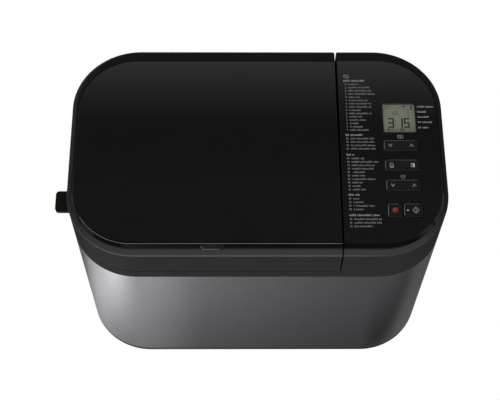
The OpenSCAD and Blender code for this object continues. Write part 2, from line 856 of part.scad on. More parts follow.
module pan_handle() color([0.75, 0.75, 0.75]) translate([oven_x, 0, pivot_z]) {
    r = handle_wire / 2;
    eye_half = r - eye_press;
    turn_x = handle_x - handle_corner;
    turn_y = handle_corner - handle_reach;
    for (s = [-1, 1]) {
        difference() {
            union() {
                rod_x(eye_r, s * handle_x - eye_half, s * handle_x + eye_half, 0, 0);
                rod_y(r, turn_y, -pivot_r - 1, s * handle_x, 0);
            }
            rod_x(pivot_r + shaft_play, s * handle_x - far, s * handle_x + far, 0, 0);
        }
        bend(s * turn_x, turn_y, 0, handle_corner, r, s > 0 ? 270 : 180);
    }
    rod_x(r, -turn_x, turn_x, -handle_reach, 0);
}

module pan_bush() color([0.75, 0.70, 0.55]) translate([oven_x, 0, 0]) difference() {
    union() {
        rod_z(pan_bush_r, pan_z - 1, pan_z + 6);
        rod_z(pan_bush_r + 3, pan_z - 2, pan_z);
        rod_z(pan_bush_r + 2, pan_z + pan_t, pan_z + pan_t + 1.5);
    }
    rod_z(shaft_r + shaft_play, 0, far);
}

module pan_shaft() color([0.75, 0.75, 0.76]) rod_z(shaft_r, pan_z - 6, pan_z + 24, oven_x);

module pan_dog() color([0.70, 0.70, 0.71]) translate([oven_x, 0, 0]) difference() {
    top = pan_z - 2.4;
    under = pan_z - 6;
    union() {
        rod_z(16, under, top);
        // two claws that the drive dog pushes round
        for (y = [-15, 10]) box([-3, y, under - 7], [3, y + 5, under]);
    }
    rod_z(shaft_r, 0, far);
}

module kneading_blade() color([0.22, 0.22, 0.23]) translate([oven_x, 0, 0]) {
    low = pan_z + 7;
    hub_h = 24;
    hub_in = 4;
    fin_t = 4;
    fin = 46;
    tip_r = 10;
    tip_h = 8;
    heel = 19;
    difference() {
        union() {
            translate([0, 0, low]) cylinder(h = hub_h, r1 = 11, r2 = 7);
            // the long fin with its round tip
            rotate([90, 0, 0]) translate([0, low, -fin_t / 2]) linear_extrude(fin_t) {
                polygon([[hub_in, 0], [fin, 0], [fin, tip_h], [fin - tip_r, tip_h + tip_r],
                    [2 * hub_in, hub_h - 1], [hub_in, hub_h - 1]]);
                translate([fin - tip_r, tip_h]) circle(r = tip_r);
            }
            // the short heel on the other side
            rotate([90, 0, 180]) translate([0, low, -fin_t / 2]) linear_extrude(fin_t)
                polygon([[hub_in, 0], [heel, 0], [heel - 3, tip_h], [hub_in, tip_h + 6]]);
        }
        rod_z(shaft_r, 0, pan_z + 24);
        box([-far, -far, 0], [far, far, low]);
    }
}

// ---------- Chassis and drive ----------

module chassis_plate() color([0.70, 0.70, 0.71]) difference() {
    inset = 12;
    hole_r = 2;
    wall_block(chassis_z, chassis_top, inset);
    rod_z(housing_r, 0, far, oven_x);
    rod_z(motor_pulley_r + 1, 0, far, motor_x);
    for (p = concat(post_at, motor_hole_at)) rod_z(hole_r, 0, far, p[0], p[1]);
}

module chassis_screws() color([0.7, 0.7, 0.7])
    for (p = post_at) screw(p[0], p[1], chassis_top, screw_r, 16, 1);

module bearing_housing() color([0.66, 0.66, 0.68]) translate([oven_x, 0, 0]) difference() {
    flange_z = chassis_top + 3;
    union() {
        rod_z(housing_r, housing_z, housing_top);
        rod_z(30, chassis_top, flange_z);
        for (a = [0, 120, 240]) rotate([0, 0, a])
            box([housing_r - 1, -rib_t / 2, flange_z], [24, rib_t / 2, flange_z + 5]);
    }
    rod_z(bush_r, 0, far);
}

module shaft_bushes() color([0.72, 0.52, 0.28]) translate([oven_x, 0, 0])
    for (z = [housing_z, housing_top - bush_h]) difference() {
        rod_z(bush_r, z, z + bush_h);
        rod_z(shaft_r + shaft_play, 0, far);
    }

module drive_shaft() color([0.78, 0.78, 0.79]) rod_z(shaft_r, shaft_low, shaft_top, oven_x);

module shaft_clip() color([0.4, 0.4, 0.42]) translate([oven_x, 0, 0]) difference() {
    rod_z(shaft_r + 2.5, shaft_low + 0.8, pulley_z);
    rod_z(shaft_r, 0, far);
}

module drive_pulley() color([0.20, 0.20, 0.21]) translate([oven_x, 0, 0]) difference() {
    hub_r = 10;
    web_t = 5;
    union() {
        flanged_rim(drive_pulley_r);
        rod_z(hub_r, pulley_z, housing_z - 0.8);
    }
    difference() {
        rod_z(drive_pulley_r - 5, pulley_z + web_t, pulley_z + pulley_h + over);
        rod_z(hub_r, 0, far);
    }
    for (a = [0 : 60 : 300]) rotate([0, 0, a]) rod_z(9, 0, far, 30);
    rod_z(shaft_r, 0, far);
}

// The belt face of a pulley between its two low flanges
module flanged_rim(r) {
    flange_t = 1;
    rise = 2;
    rod_z(r, pulley_z, pulley_z + pulley_h);
    for (z = [pulley_z, pulley_z + pulley_h - flange_t]) rod_z(r + rise, z, z + flange_t);
}

module drive_dog() color([0.70, 0.70, 0.71]) translate([oven_x, 0, 0]) difference() {
    union() {
        rod_z(8, housing_top + 0.8, shaft_top);
        box([-17, -rib_t, housing_top + 2], [17, rib_t, shaft_top]);
    }
    rod_z(shaft_r, 0, far);
}

// Outline of a belt that lies on the two pulleys, moved outward by a margin
module belt_outline(margin) {
    hull() {
        translate([oven_x, 0]) circle(r = drive_pulley_r + margin);
        translate([motor_x, 0]) circle(r = motor_pulley_r + margin);
    }
}

module drive_belt() color([0.05, 0.05, 0.05])
    translate([0, 0, belt_z]) linear_extrude(belt_h) difference() {
        belt_outline(belt_gap + belt_t);
        belt_outline(belt_gap);
    }

module motor_case() color([0.62, 0.62, 0.63]) translate([motor_x, 0, 0]) difference() {
    skin = 4;
    top = motor_z + motor_h;
    r = motor_dia / 2;
    union() {
        rod_z(r, motor_z, top);
        slab(motor_plate, motor_plate, 8, motor_z, motor_z + 3);
    }
    rod_z(r - skin, motor_z + skin, top - skin);
    rod_z(shaft_r + shaft_play, motor_z - over, top - 1.5);
    for (p = motor_hole_at) rod_z(2.2, 0, far, p[0] - motor_x, p[1]);
    // air slots in the top cap
    for (a = [15 : 30 : 345]) rotate([0, 0, a]) box([r - 12, -2.5, top - 6], [r - 6, 2.5, top + over]);
}

module motor_rotor() color([0.45, 0.42, 0.40]) {
    core_gap = 14;
    rod_z(shaft_r, shaft_low, motor_z + motor_h - 2, motor_x);
    rod_z(26, motor_z + core_gap, motor_z + motor_h - core_gap, motor_x);
}

module motor_pulley() color([0.72, 0.72, 0.74]) translate([motor_x, 0, 0]) difference() {
    flanged_rim(motor_pulley_r);
    rod_z(shaft_r, 0, far);
}

module motor_mounts() color([0.06, 0.06, 0.06])
    for (p = motor_hole_at) difference() {
        rod_z(6, chassis_top, motor_z, p[0], p[1]);
        rod_z(2, 0, far, p[0], p[1]);
    }

module motor_capacitor() color([0.85, 0.85, 0.83]) translate([motor_x - 14, -82, chassis_top]) {
    can_h = 52;
    cylinder(h = can_h, r = 16);
    for (x = [-5, 5]) translate([x - 0.4, -3, can_h]) cube([0.8, 6, 8]);
}

module power_board() color([0.10, 0.35, 0.18])
    box([power_x, power_y, power_z], [power_x + 90, power_y + board_t, power_z + 100]);

module relay() color([0.12, 0.20, 0.45]) {
    box([power_x + 10, power_y - 16, power_z + 20], [power_x + 30, power_y, power_z + 48]);
    box([power_x + 46, power_y - 22, power_z + 24], [power_x + 70, power_y, power_z + 52]);
}

module board_bracket() color([0.70, 0.70, 0.71]) {
    sheet = 1.4;
    low_x = power_x + 4;
    back = power_y + board_t;
    box([low_x, back - 15.6, chassis_top], [low_x + 60, back + sheet, chassis_top + sheet]);
    box([low_x, back, chassis_top], [low_x + 82, back + sheet, power_z + 90]);
}

base_pan();
rubber_feet();
outer_shell();
upper_frame();
rear_cover();
cord_gland();
cord_hook();
control_plate();
lcd_window();
lcd_module();
menu_key();
loaf_key();
timer_key();
stop_key();
start_key();
start_lamp();
control_board();
touch_switches();
board_screws();
lid_frame();
lid_top_plate();
finger_tab();
lid_inner_frame();
lid_liner();
lid_gasket();
lid_screws();
hinge_pins();
oven_liner();
oven_posts();
heater_element();
heater_bushes();
heater_brackets();
temperature_sensor();
thermal_fuse();
pan_seat();
bread_pan();
pan_ears();
handle_pivots();
pan_handle();
pan_bush();
pan_shaft();
pan_dog();
kneading_blade();
chassis_plate();
chassis_screws();
bearing_housing();
shaft_bushes();
drive_shaft();
shaft_clip();
drive_pulley();
drive_dog();
drive_belt();
motor_case();
motor_rotor();
motor_pulley();
motor_mounts();
motor_capacitor();
power_board();
relay();
board_bracket();
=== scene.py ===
import json
import math

import bmesh
import bpy
from mathutils import Matrix, Vector


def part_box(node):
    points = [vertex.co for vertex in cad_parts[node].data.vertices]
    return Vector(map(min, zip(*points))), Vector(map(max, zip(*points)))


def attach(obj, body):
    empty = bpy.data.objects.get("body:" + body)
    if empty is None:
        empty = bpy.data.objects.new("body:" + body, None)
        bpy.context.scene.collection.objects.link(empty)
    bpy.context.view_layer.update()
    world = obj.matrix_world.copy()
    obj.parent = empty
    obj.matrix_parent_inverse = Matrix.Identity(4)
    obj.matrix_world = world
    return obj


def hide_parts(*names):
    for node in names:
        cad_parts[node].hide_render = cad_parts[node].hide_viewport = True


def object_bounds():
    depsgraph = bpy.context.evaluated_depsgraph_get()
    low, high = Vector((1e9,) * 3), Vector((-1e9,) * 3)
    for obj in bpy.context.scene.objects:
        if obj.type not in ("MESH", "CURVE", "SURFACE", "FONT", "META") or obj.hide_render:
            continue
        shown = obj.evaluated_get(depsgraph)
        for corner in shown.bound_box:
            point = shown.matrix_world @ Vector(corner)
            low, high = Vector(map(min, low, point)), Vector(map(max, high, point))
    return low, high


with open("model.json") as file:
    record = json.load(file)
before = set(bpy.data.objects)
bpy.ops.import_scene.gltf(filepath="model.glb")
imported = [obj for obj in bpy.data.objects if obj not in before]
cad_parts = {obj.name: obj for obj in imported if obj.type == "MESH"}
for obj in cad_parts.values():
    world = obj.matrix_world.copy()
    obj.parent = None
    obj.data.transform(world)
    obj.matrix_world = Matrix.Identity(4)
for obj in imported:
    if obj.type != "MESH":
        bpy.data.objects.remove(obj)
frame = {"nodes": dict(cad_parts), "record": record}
cad_low, cad_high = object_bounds()
NODES = frame["nodes"]
MM = 0.001


# ---------- Camera ----------

# Angles in degrees: how far the camera looks below the horizon, turns to the right, and leans
CAMERA_AT = (-0.0187, -0.6168, 1.3926)
CAMERA_DOWN = 63.34
CAMERA_TURN = -1.09
CAMERA_ROLL = 0.98
SENSOR_MM = 36
LENS_MM = 86.94


def turned(degrees, axis):
    return Matrix.Rotation(math.radians(degrees), 4, axis)


def add_camera():
    """A long lens in front of the object, looking steeply down on its top."""
    data = bpy.data.cameras.new("camera")
    data.sensor_width = SENSOR_MM
    data.lens = LENS_MM
    data.clip_start = 0.05
    data.clip_end = 50
    camera = bpy.data.objects.new("camera", data)
    bpy.context.scene.collection.objects.link(camera)
    aim = turned(CAMERA_TURN, "Z") @ turned(90 - CAMERA_DOWN, "X") @ turned(CAMERA_ROLL, "Z")
    camera.matrix_world = Matrix.Translation(CAMERA_AT) @ aim
    bpy.context.scene.camera = camera


# ---------- Materials ----------

class Shader:
    """A Principled material whose detail comes from procedural nodes in the object's own space."""

    def __init__(self, name):
        self.mat = bpy.data.materials.new(name)
        self.mat.use_nodes = True
        self.tree = self.mat.node_tree
        self.bsdf = self.tree.nodes["Principled BSDF"]
        self.place = self.tree.nodes.new("ShaderNodeTexCoord").outputs["Object"]

    def node(self, kind, **inputs):
        made = self.tree.nodes.new(kind)
        for key, value in inputs.items():
            socket = made.inputs[key.replace("_", " ")]
            if isinstance(value, bpy.types.NodeSocket):
                self.tree.links.new(value, socket)
            else:
                socket.default_value = value
        return made

    def noise(self, size, detail, stretch=(1, 1, 1)):
        """Noise whose blobs measure about size metres."""
        where = self.node("ShaderNodeMapping", Vector=self.place, Scale=stretch).outputs["Vector"]
        return self.node("ShaderNodeTexNoise", Vector=where, Scale=1 / size, Detail=detail).outputs["Fac"]

    def ranged(self, value, start, end, low, high):
        """A value that goes from low to high while another goes from start to end."""
        ends = {"From_Min": start, "From_Max": end, "To_Min": low, "To_Max": high}
        return self.node("ShaderNodeMapRange", Value=value, **ends).outputs["Result"]

    def between(self, noise, low, high):
        """Noise, most of which lies between 0.3 and 0.7, spread from low to high."""
        return self.ranged(noise, 0.3, 0.7, low, high)

    def colour(self, factor, first, second):
        """The first colour where factor is 0 and the second where it is 1."""
        mix = self.tree.nodes.new("ShaderNodeMix")
        mix.data_type = "RGBA"
        self.tree.links.new(factor, mix.inputs["Factor"])
        mix.inputs["A"].default_value = (*first, 1)
        mix.inputs["B"].default_value = (*second, 1)
        self.tree.links.new(mix.outputs["Result"], self.bsdf.inputs["Base Color"])

    def roughness(self, factor, low, high):
        self.tree.links.new(self.between(factor, low, high), self.bsdf.inputs["Roughness"])

    def along(self, axis):
        return self.node("ShaderNodeSeparateXYZ", Vector=self.place).outputs[axis]

    def times(self, first, second):
        made = self.node("ShaderNodeMath", Value=first)
        made.operation = "MULTIPLY"
        self.tree.links.new(second, made.inputs[1])
        return made.outputs["Value"]

    def line_at(self, axis, middle, width):
        """1 on a line at one place along an axis (metres), 0 beyond width on both sides."""
        away = self.node("ShaderNodeMath", Value=self.along(axis))
        away.operation = "SUBTRACT"
        away.inputs[1].default_value = middle
        size = self.node("ShaderNodeMath", Value=away.outputs["Value"])
        size.operation = "ABSOLUTE"
        return self.ranged(size.outputs["Value"], 0.5 * width, width, 1, 0)

    def lighten(self, factor, colour):
        """Lay a second colour over the base colour where factor is 1."""
        mix = self.tree.nodes.new("ShaderNodeMix")
        mix.data_type = "RGBA"
        self.tree.links.new(factor, mix.inputs["Factor"])
        self.tree.links.new(self.bsdf.inputs["Base Color"].links[0].from_socket, mix.inputs["A"])
        mix.inputs["B"].default_value = (*colour, 1)
        self.tree.links.new(mix.outputs["Result"], self.bsdf.inputs["Base Color"])

    def bump(self, height, depth):
        made = self.node("ShaderNodeBump", Height=height, Distance=depth)
        self.tree.links.new(made.outputs["Normal"], self.bsdf.inputs["Normal"])

    def fixed(self, **values):
        for key, value in values.items():
            self.bsdf.inputs[key.replace("_", " ")].default_value = value


# Every finish by the name of its slot
FINISH = {}
# Height of the widest line, where the walls turn into the shoulder
CREASE_Z = cad_high.z - 12.4 * MM


def tone(level):
    return (level,) * 3


def surface(name, first, second, rough, patch=0.03, grain=0.0006, depth=0.00001, stretch=(1, 1, 1), **fixed):
    """One finish: two near tones in soft patches, roughness that varies, and a fine grain in relief."""
    made = Shader(name)
    made.colour(made.between(made.noise(patch, 4), 0, 1), first, second)
    made.roughness(made.noise(patch * 0.4, 5), *rough)
    made.bump(made.noise(grain, 3, stretch), depth)
    made.fixed(**fixed)
    FINISH[name] = made.mat


def frame_plastic():
    """Satin black plastic with painted light: the front shoulder is painted paler where the light in front
    falls on it, and a painted highlight runs along the crease.
    """
    made = Shader("frame_plastic")
    made.colour(made.between(made.noise(0.03, 4), 0, 1), tone(0.0238), tone(0.0262))
    # Painted light: the shoulder band along the front is painted paler, where the light in front falls on it
    front = made.ranged(made.along("Y"), -0.11, -0.07, 1, 0)
    shoulder = made.line_at("Z", CREASE_Z + 0.0026, 0.0046)
    made.lighten(made.times(shoulder, front), tone(0.037))
    # Painted highlight along the crease at the front, fading towards the right and varying a little in
    # patches
    left = made.ranged(made.along("X"), 0.085, 0.14, 1, 0.2)
    crease_highlight_strength = made.times(left, made.between(made.noise(0.05, 2), 0.75, 1.0))
    crease = made.line_at("Z", CREASE_Z - 0.0005, 0.0015)
    made.lighten(made.times(crease, crease_highlight_strength), tone(0.094))
    made.roughness(made.noise(0.012, 5), 0.29, 0.33)
    made.bump(made.noise(0.0006, 3), 0.00001)
    made.fixed(Specular_IOR_Level=0.002)
    FINISH["frame_plastic"] = made.mat


frame_plastic()
surface("base_plastic", tone(0.016), tone(0.022), (0.42, 0.52), depth=0.00003)
surface("foot_rubber", tone(0.012), tone(0.02), (0.7, 0.85), depth=0.00004)
surface("graphite_steel", (0.293, 0.288, 0.314), (0.301, 0.296, 0.324), (0.27, 0.30), grain=0.0005,
        depth=0.000002, Metallic=1.0)
surface("hook_plastic", (0.0108, 0.0113, 0.0085), (0.0130, 0.0135, 0.0102), (0.4, 0.5),
        Specular_IOR_Level=0.01)
surface("gloss_black", tone(0.0025), tone(0.0035), (0.05, 0.07), grain=0.004, depth=0.000001)
surface("tab_plastic", tone(0.018), tone(0.021), (0.22, 0.28))
surface("lcd_green", (0.31, 0.355, 0.25), (0.34, 0.385, 0.275), (0.4, 0.5), depth=0)
surface("key_black", tone(0.006), tone(0.009), (0.16, 0.22), depth=0.000004)
surface("lamp_red", (0.5, 0.02, 0.015), (0.6, 0.03, 0.02), (0.15, 0.2))
surface("board_green", (0.01, 0.10, 0.04), (0.02, 0.14, 0.06), (0.25, 0.35), patch=0.006)
surface("switch_black", tone(0.02), tone(0.03), (0.4, 0.5))
surface("screw_steel", tone(0.50), tone(0.60), (0.22, 0.32), Metallic=1.0)
surface("liner_steel", tone(0.44), tone(0.48), (0.33, 0.37), patch=0.03, grain=0.0008,
        stretch=(1, 1, 0.15), depth=0.000006, Metallic=0.6)
surface("seal_rubber", tone(0.05), tone(0.06), (0.6, 0.7))
surface("heater_steel", (0.10, 0.085, 0.075), (0.16, 0.13, 0.11), (0.45, 0.6), patch=0.01, Metallic=0.8)
surface("ceramic_white", (0.62, 0.60, 0.52), (0.70, 0.68, 0.60), (0.6, 0.75))
surface("cast_aluminium", tone(0.48), tone(0.56), (0.35, 0.48), grain=0.001, depth=0.00003, Metallic=1.0)
surface("pan_coating", tone(0.060), tone(0.072), (0.30, 0.40), grain=0.0005, depth=0.00001, Metallic=0.3)
surface("sinter_bronze", (0.45, 0.28, 0.12), (0.55, 0.35, 0.16), (0.4, 0.5), Metallic=1.0)
surface("pulley_plastic", tone(0.02), tone(0.03), (0.4, 0.5))
surface("belt_rubber", tone(0.01), tone(0.016), (0.6, 0.7))
surface("motor_steel", tone(0.32), tone(0.38), (0.35, 0.5), Metallic=0.9)
surface("capacitor_white", (0.62, 0.62, 0.6), (0.68, 0.68, 0.65), (0.4, 0.5))
surface("relay_blue", (0.02, 0.05, 0.22), (0.03, 0.07, 0.28), (0.35, 0.45))
# White print on the keys; the same white also paints the glint on the start lamp
surface("white_print_and_glint", tone(0.60), tone(0.68), (0.5, 0.6), depth=0)
surface("print_grey", tone(0.42), tone(0.48), (0.5, 0.6), depth=0)
surface("print_dim", tone(0.26), tone(0.31), (0.5, 0.6), depth=0)
# Painted highlights along the edges of the keys and the finger tab, a bright one and a dimmer one
surface("painted_rim_highlight", tone(0.26), tone(0.32), (0.5, 0.6), depth=0)
surface("painted_rim_highlight_dim", tone(0.11), tone(0.16), (0.5, 0.6), depth=0)
surface("print_red", (0.14, 0.005, 0.005), (0.18, 0.006, 0.006), (0.4, 0.5), depth=0)
surface("print_pink", (0.42, 0.15, 0.14), (0.47, 0.18, 0.165), (0.4, 0.5), depth=0)
surface("lcd_ink", (0.004, 0.005, 0.003), (0.008, 0.009, 0.005), (0.4, 0.5), depth=0)
surface("lcd_clear", (0.5, 0.5, 0.5), (0.55, 0.55, 0.55), (0.03, 0.06), depth=0, Alpha=0.03)

SLOT_OF = {row["node"]: row["material_slot"] for row in frame["record"]["subparts"]}


def dress(obj, finish):
    obj.data.materials.clear()
    obj.data.materials.append(FINISH[finish])


def body_with(node):
    """The moving body that holds a CAD node."""
    return next(b for b, members in frame["record"]["behaviour"]["bodies"].items() if node in members)


# ---------- Pieces made from the CAD shapes, with their edges rounded ----------

# Corners closer than this are one corner, in metres, and faces that turn by less than this are one face
SAME_PLACE = 2e-6
FLAT_TURN = math.radians(0.5)
# Edges that turn by more than this are sharp, and get a rounding of this many steps
SHARP_TURN = math.radians(28)
ROUND_STEPS = 3
# Radius of the rounding for each node that gets one, in millimetres
ROUNDED = {
    "outer_shell": 0.5, "upper_frame": 0.5, "lid_frame": 0.5, "lid_top_plate": 0.9, "control_plate": 0.9,
    "cord_hook": 1.2, "finger_tab": 0.7, "rear_cover": 0.8, "base_pan": 0.8,
    "menu_key": 0.2, "loaf_key": 0.2, "timer_key": 0.2, "stop_key": 0.2, "start_key": 0.2,
}


def crisp(node, width):
    """A copy of a CAD node whose sharp edges are rounded, standing for that node."""
    mesh = NODES[node].data.copy()
    shape = bmesh.new()
    shape.from_mesh(mesh)
    bmesh.ops.remove_doubles(shape, verts=shape.verts, dist=SAME_PLACE)
    bmesh.ops.dissolve_limit(shape, angle_limit=FLAT_TURN, verts=shape.verts, edges=shape.edges)
    shape.to_mesh(mesh)
    shape.free()
    mesh.name = node + "_shape"
    obj = bpy.data.objects.new(node + "_piece", mesh)
    bpy.context.scene.collection.objects.link(obj)
    for face in mesh.polygons:
        face.use_smooth = True
    mesh.set_sharp_from_angle(angle=SHARP_TURN)
    bevel = obj.modifiers.new("round", "BEVEL")
    bevel.width = width
    bevel.segments = ROUND_STEPS
    bevel.limit_method = "ANGLE"
    bevel.angle_limit = SHARP_TURN
    bevel.use_clamp_overlap = True
    weighted = obj.modifiers.new("flat_faces", "WEIGHTED_NORMAL")
    weighted.weight = 100
    weighted.keep_sharp = True
    dress(obj, SLOT_OF[node])
    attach(obj, body_with(node))
    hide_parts(node)
    return obj


# ---------- Marks printed on the panel, the keys and the display, and painted highlights on edges ---

# Thickness of a printed mark or painted highlight, and the width of the finer lines, in millimetres
RAISED = 0.06
FINE_LINE = 0.42
# Heights of the ticks that stand for letters, as parts of the letter height; 0 is a space
RHYTHM = (1.0, 0.72, 0.72, 1.0, 0.72, 0.0, 0.72, 1.0, 0.72, 0.72, 0.72, 1.0, 0.72)


class Ink:
    """Flat marks, kept as closed outlines in millimetres about an origin, raised a hair above a face."""

    def __init__(self, x=0.0, y=0.0):
        self.x, self.y = x, y
        self.outlines = []

    def fill(self, points):
        self.outlines.append([(self.x + x, self.y + y) for x, y in points])

    def stroke(self, points, width):
        """A line of one width through the points, one oblong for each stretch."""
        for (x0, y0), (x1, y1) in zip(points, points[1:]):
            length = math.hypot(x1 - x0, y1 - y0)
            along_x, along_y = (x1 - x0) / length * width / 2, (y1 - y0) / length * width / 2
            x0, y0, x1, y1 = x0 - along_x, y0 - along_y, x1 + along_x, y1 + along_y
            self.fill([(x0 - along_y, y0 + along_x), (x0 + along_y, y0 - along_x),
                       (x1 + along_y, y1 - along_x), (x1 - along_y, y1 + along_x)])

    def arc(self, x, y, radius, start, end, width, steps=20):
        """A curved line between two angles in degrees."""
        inner, outer = radius - width / 2, radius + width / 2
        for i in range(steps):
            corners = []
            for turn, reach in ((i, inner), (i, outer), (i + 1, outer), (i + 1, inner)):
                angle = math.radians(start + (end - start) * turn / steps)
                corners.append((x + reach * math.cos(angle), y + reach * math.sin(angle)))
            self.fill(corners)

    def disc(self, x, y, radius, steps=28):
        turns = [2 * math.pi * i / steps for i in range(steps)]
        self.fill([(x + radius * math.cos(turn), y + radius * math.sin(turn)) for turn in turns])

    def bar(self, x, y, width, height):
        self.fill([(x, y), (x + width, y), (x + width, y + height), (x, y + height)])

    def writing(self, x, y, length, height):
        """A row of small uneven ticks that stands for one line of lettering."""
        step = 0.52 * height
        for i in range(int(length / step)):
            tall = height * RHYTHM[(i * 5 + int(length * 7)) % len(RHYTHM)]
            if tall:
                self.bar(x + i * step, y, step * 0.58, tall)

    def lay(self, name, finish, body, z):
        """Build the marks as thin plates on the face at height z and let them ride with a body."""
        mesh = bpy.data.meshes.new(name)
        shape = bmesh.new()
        for outline in self.outlines:
            top = [shape.verts.new((x * MM, y * MM, z + RAISED * MM)) for x, y in outline]
            low = [shape.verts.new((x * MM, y * MM, z)) for x, y in outline]
            shape.faces.new(top)
            for i, start in enumerate(top):
                shape.faces.new((start, low[i], low[(i + 1) % len(top)], top[(i + 1) % len(top)]))
        bmesh.ops.recalc_face_normals(shape, faces=shape.faces)
        shape.to_mesh(mesh)
        shape.free()
        obj = bpy.data.objects.new(name, mesh)
        bpy.context.scene.collection.objects.link(obj)
        obj.data.materials.append(FINISH[finish])
        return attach(obj, body)


def middle(node):
    """Centre of a node in plan and the height of its top: millimetres, millimetres, metres."""
    low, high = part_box(node)
    return (low.x + high.x) / 2 / MM, (low.y + high.y) / 2 / MM, high.z


# Menu printed beside the cut: Y of each heading, length of the heading, lengths of the lines below it
MENU = (
    (77.0, 24.3, (11.8, 24.1, 25.0, 28.8, 13.2, 21.6, 24.4, 24.4, 13.1, 24.3, 13.7, 18.5, 11.1, 14.2, 20.7)),
    (10.2, 19.1, (25.1, 25.1, 26.5, 26.2)),
    (-13.4, 9.1, (13.7, 28.5, 24.3, 24.1, 13.8, 14.4, 24.2, 11.3, 9.2, 14.3)),
    (-60.2, 12.0, (6.6, 12.2, 22.4, 11.2)),
    (-83.3, 31.8, (28.9, 28.5, 20.2)),
)
MENU_X = 92.3
MENU_NUMBER = 1.2
MENU_TEXT = 4.9
MENU_LEAD = 4.3
MENU_PITCH = 4.03
LETTER = 2.0
# Labels beside the display: distance below its top edge, and length
LABELS = ((3.9, 18.1), (10.2, 10.4), (16.5, 13.4), (22.9, 15.3), (29.4, 11.6))
LABEL_GAP = 2.6


def book(ink, x, y, width, height, line):
    """An open book: two pages that meet in the middle."""
    w, h = width / 2, height / 2
    pages = [(x - w, y - h), (x - w, y + h * 0.8), (x - w / 2, y + h), (x, y + h * 0.7)]
    pages += [(x + w / 2, y + h), (x + w, y + h * 0.8), (x + w, y - h), (x, y - h * 1.1), (x - w, y - h)]
    ink.stroke(pages, line)
    ink.stroke([(x, y + h * 0.7), (x, y - h)], line)


def clock(ink, x, y):
    """A dial that is open at the top, with its two hands."""
    ink.arc(x, y, 2.1, 120, 420, FINE_LINE)
    ink.stroke([(x - 1.0, y + 0.9), (x - 0.1, y), (x + 1.2, y + 1.3)], FINE_LINE)


def chevron(ink, x, way):
    """An arrow head that points to the rear (1) or to the front (-1)."""
    ink.stroke([(x - 1.7, way * -1.5), (x, way * 1.6), (x + 1.7, way * -1.5)], FINE_LINE)


def panel_print():
    """Menu, labels and small signs on the panel itself."""
    plate_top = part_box("control_plate")[1].z
    menu = Ink(MENU_X, 0)
    heads = Ink(MENU_X, 0)
    for group, (y, head, lines) in enumerate(MENU):
        heads.writing(0, y, head, LETTER * 1.15)
        digits = (0.6,) if group == 0 else (-0.7, 0.6)
        for i, length in enumerate(lines):
            row = y - MENU_LEAD - i * MENU_PITCH
            for digit_x in digits:
                menu.bar(MENU_NUMBER + digit_x, row, 0.75, LETTER)
            menu.writing(MENU_TEXT, row, length, LETTER)
    display_low, display_high = (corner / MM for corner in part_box("lcd_window"))
    for drop, length in LABELS:
        heads.writing(display_high.x - MENU_X + LABEL_GAP, display_high.y - drop - 1, length, LETTER * 1.05)
    key_x, key_y, _ = middle("menu_key")
    signs = Ink(key_x, 0)
    book(signs, 0, (display_low.y + key_y + 6) / 2 - 0.2, 5.2, 3.6, 0.6)
    book(signs, MENU_X - key_x + 3.3, MENU[0][0] + 6.6, 5.0, 3.6, 0.55)
    clock(signs, 0, (middle("loaf_key")[1] + middle("timer_key")[1]) / 2 - 1.4)
    menu.lay("menu_print", "print_dim", "root", plate_top)
    heads.lay("heading_print", "print_grey", "root", plate_top)
    signs.lay("sign_print", "print_grey", "root", plate_top)


def arrows_sign(ink):
    chevron(ink, -11, -1)
    chevron(ink, 10.9, 1)


def loaf_sign(ink):
    """A loaf for its size at the left end, and a half-filled square for its crust at the right end."""
    ink.stroke([(-12.6, -2.7), (-9.4, -2.7), (-9.4, 0.6)], 0.5)
    ink.stroke([(-12.6, -2.7), (-12.6, 0.6)], 0.5)
    ink.arc(-11, 0.8, 1.5, 0, 180, 0.5)
    ink.disc(-11, -1.1, 0.55)
    for y in (-2.3, 1.7):
        ink.bar(8.9, y, 1.9, 0.45)
    ink.bar(8.9, -2.3, 0.45, 4.4)
    ink.bar(10.8, -2.3, 2.0, 4.4)


def start_sign(ink):
    """A diamond round a short bar."""
    x = 2.6
    ink.stroke([(x - 3.3, 0), (x, 3.6), (x + 3.3, 0), (x, -3.6), (x - 3.3, 0)], 0.36)
    ink.stroke([(x, 1.5), (x, -1.5)], 0.45)


def stop_sign(ink):
    """An open ring with a slanting bar."""
    ink.arc(0.4, 0, 2.2, 20, 250, 0.5)
    ink.stroke([(-0.9, 1.3), (1.7, -1.3)], 0.5)


# What each key shows, and the ink it is printed in
KEY_SIGNS = {
    "menu_key": (arrows_sign, "white_print_and_glint"),
    "loaf_key": (loaf_sign, "white_print_and_glint"),
    "timer_key": (arrows_sign, "white_print_and_glint"),
    "stop_key": (stop_sign, "print_pink"),
    "start_key": (start_sign, "white_print_and_glint"),
}


def disc_on(name, finish, node, x, y, top, radius):
    """A plain round mark that rides with a node."""
    mark = Ink(x, y)
    mark.disc(0, 0, radius)
    mark.lay(name, finish, body_with(node), top)


